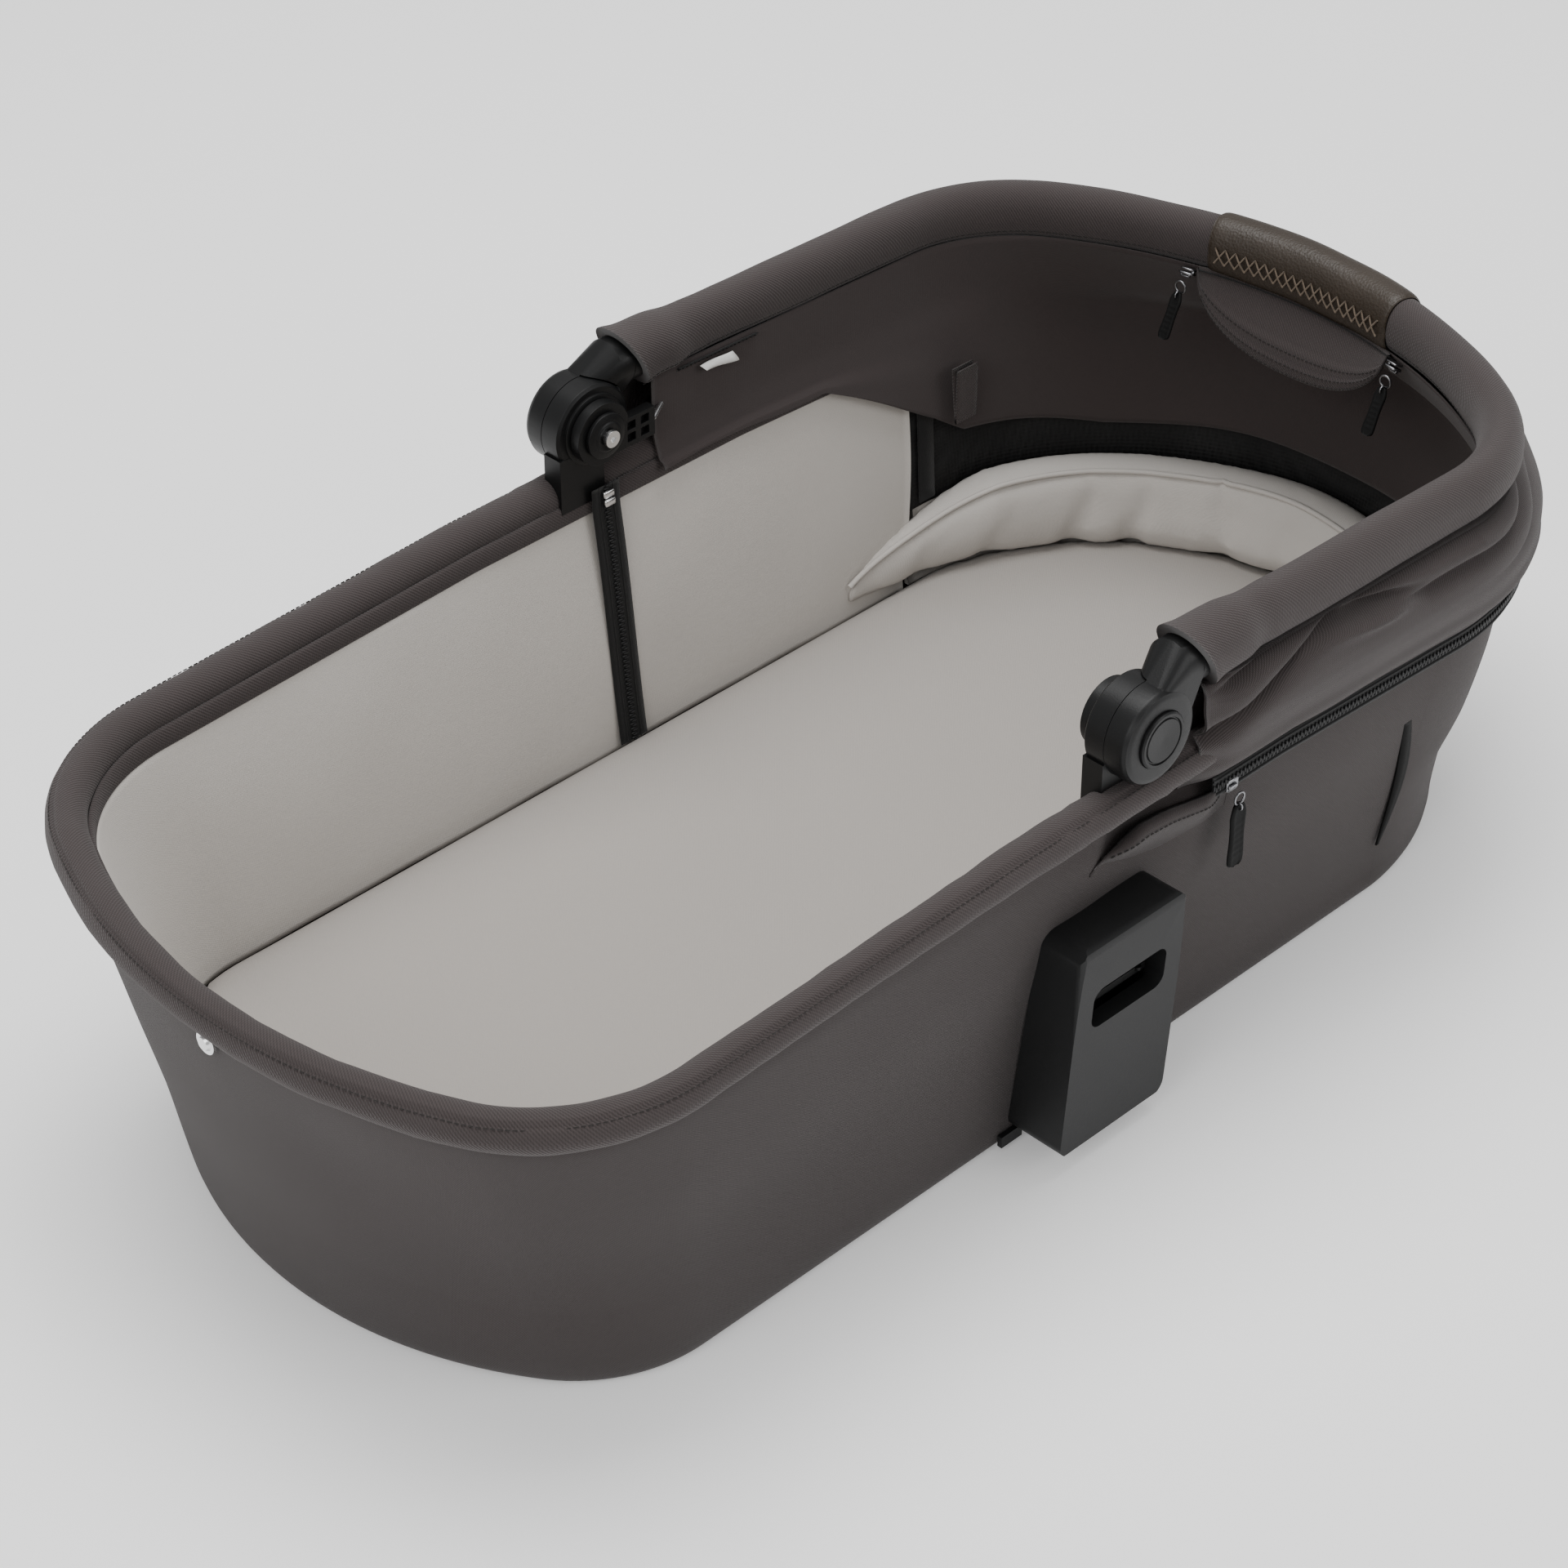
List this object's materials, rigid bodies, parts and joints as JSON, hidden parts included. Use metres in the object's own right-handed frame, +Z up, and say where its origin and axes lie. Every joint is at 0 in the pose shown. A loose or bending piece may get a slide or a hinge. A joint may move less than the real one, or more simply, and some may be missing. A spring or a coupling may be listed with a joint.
{
  "type": "baby stroller carrycot",
  "caption": "Oval padded baby carrycot for a stroller, with a folding hood bow, mattress, side chassis adapters and a leather-covered carry grip.",
  "frame": {"origin": "middle of the footprint, at the underside of the fabric floor", "axes": "+X towards the head (hood) end, +Y towards the far side, +Z up"},
  "size_m": [0.901, 0.449, 0.2942],
  "materials": {
    "shell_fabric": "matt twill",
    "rim_fabric": "matt twill",
    "sleeve_fabric": "matt twill",
    "hood_fabric": "matt twill",
    "hood_lining": "matt",
    "lining_fabric": "matt, padded",
    "mattress_fabric": "matt",
    "bumper_fabric": "matt, padded",
    "mesh_fabric": "open mesh",
    "label_fabric": "satin, blank",
    "frame_tube": "drawn",
    "board_plastic": "matt",
    "steel": "plain",
    "bright_metal": "bright",
    "slider_metal": "gunmetal",
    "zip_black": "matt",
    "black_plastic": "fine texture",
    "latch_plastic": "fine texture",
    "hub_plastic": "fine texture",
    "reflective_strip": "satin",
    "pull_rubber": "moulded, blank",
    "grip_leather": "grained, stitched"
  },
  "bodies": {
    "tub": {"outer_shell": "shell_fabric", "rim_cover": "rim_fabric", "rim_tube": "frame_tube", "rim_band": "rim_fabric", "base_board": "board_plastic", "floor_brace": "steel", "wall_lining": "lining_fabric", "mattress": "mattress_fabric", "head_bumper": "bumper_fabric", "mesh_panel": "mesh_fabric", "inner_zip_left": "zip_black", "inner_zip_right": "zip_black", "snap_stud": "bright_metal", "strip_left": "reflective_strip", "strip_right": "reflective_strip", "adapter_left": "black_plastic", "adapter_right": "black_plastic", "latch_spring_left": "steel", "latch_spring_right": "steel", "adapter_screws": "steel", "adapter_clips": "black_plastic", "hub_base_left": "hub_plastic", "hub_base_right": "hub_plastic", "hub_cap_left": "hub_plastic", "hub_cap_right": "hub_plastic", "hub_axles": "steel", "hub_screws": "bright_metal", "hood_fabric": "hood_fabric", "hood_lining": "hood_lining", "hood_zip": "zip_black", "zip_slider": "slider_metal", "loop_strap": "rim_fabric"},
    "bow": {"hub_arm_left": "hub_plastic", "hub_arm_right": "hub_plastic", "bow_tube": "frame_tube", "bow_sleeve": "sleeve_fabric", "grip": "grip_leather", "vent_flap": "sleeve_fabric", "bow_zip": "zip_black", "care_label": "label_fabric", "flap_sliders": "slider_metal", "button_spring_left": "steel", "button_spring_right": "steel"},
    "rib": {"rib_arm_left": "hub_plastic", "rib_arm_right": "hub_plastic", "rib_wire": "steel"},
    "button_left": {"hub_button_left": "hub_plastic"},
    "button_right": {"hub_button_right": "hub_plastic"},
    "latch_left_body": {"latch_left": "latch_plastic"},
    "latch_right_body": {"latch_right": "latch_plastic"},
    "rim_pull": {"zip_pull": "pull_rubber"},
    "vent_pull_left": {"flap_pull_left": "pull_rubber"},
    "vent_pull_right": {"flap_pull_right": "pull_rubber"}
  },
  "joints": [
    {"name": "bow_fold", "type": "hinge", "parent": "tub", "child": "bow", "pos_m": [-0.013, 0, 0.251], "axis": [0, -1, 0], "range_deg": [0, 95], "deforming": ["hood_fabric", "hood_lining"]},
    {"name": "rib_fold", "type": "hinge", "parent": "tub", "child": "rib", "pos_m": [-0.013, 0, 0.251], "axis": [0, -1, 0], "range_deg": [0, 47.5]},
    {"name": "press_button_left", "type": "slide", "parent": "bow", "child": "button_left", "axis": [0, -1, 0], "range_m": [0, 0.003], "stiffness_N_per_m": 1500, "springref_m": -0.002, "deforming": ["button_spring_left"]},
    {"name": "press_button_right", "type": "slide", "parent": "bow", "child": "button_right", "axis": [0, 1, 0], "range_m": [0, 0.003], "stiffness_N_per_m": 1500, "springref_m": -0.002, "deforming": ["button_spring_right"]},
    {"name": "lift_latch_left", "type": "slide", "parent": "tub", "child": "latch_left_body", "axis": [0, 0, 1], "range_m": [0, 0.006], "stiffness_N_per_m": 800, "springref_m": -0.004, "deforming": ["latch_spring_left"]},
    {"name": "lift_latch_right", "type": "slide", "parent": "tub", "child": "latch_right_body", "axis": [0, 0, 1], "range_m": [0, 0.006], "stiffness_N_per_m": 800, "springref_m": -0.004, "deforming": ["latch_spring_right"]},
    {"name": "rim_pull_swing", "type": "hinge", "parent": "tub", "child": "rim_pull", "pos_m": [0.062, -0.2108, 0.1776], "axis": [-1, 0, 0], "range_deg": [0, 70]},
    {"name": "vent_pull_left_swing", "type": "hinge", "parent": "bow", "child": "vent_pull_left", "pos_m": [0.3435, 0.075, 0.2482], "axis": [0, 1, 0], "range_deg": [-25, 60]},
    {"name": "vent_pull_right_swing", "type": "hinge", "parent": "bow", "child": "vent_pull_right", "pos_m": [0.3435, -0.075, 0.2482], "axis": [0, 1, 0], "range_deg": [-25, 60]}
  ],
  "couplings": [
    {"joint": "rib_fold", "follows": "bow_fold", "ratio": 0.5}
  ]
}
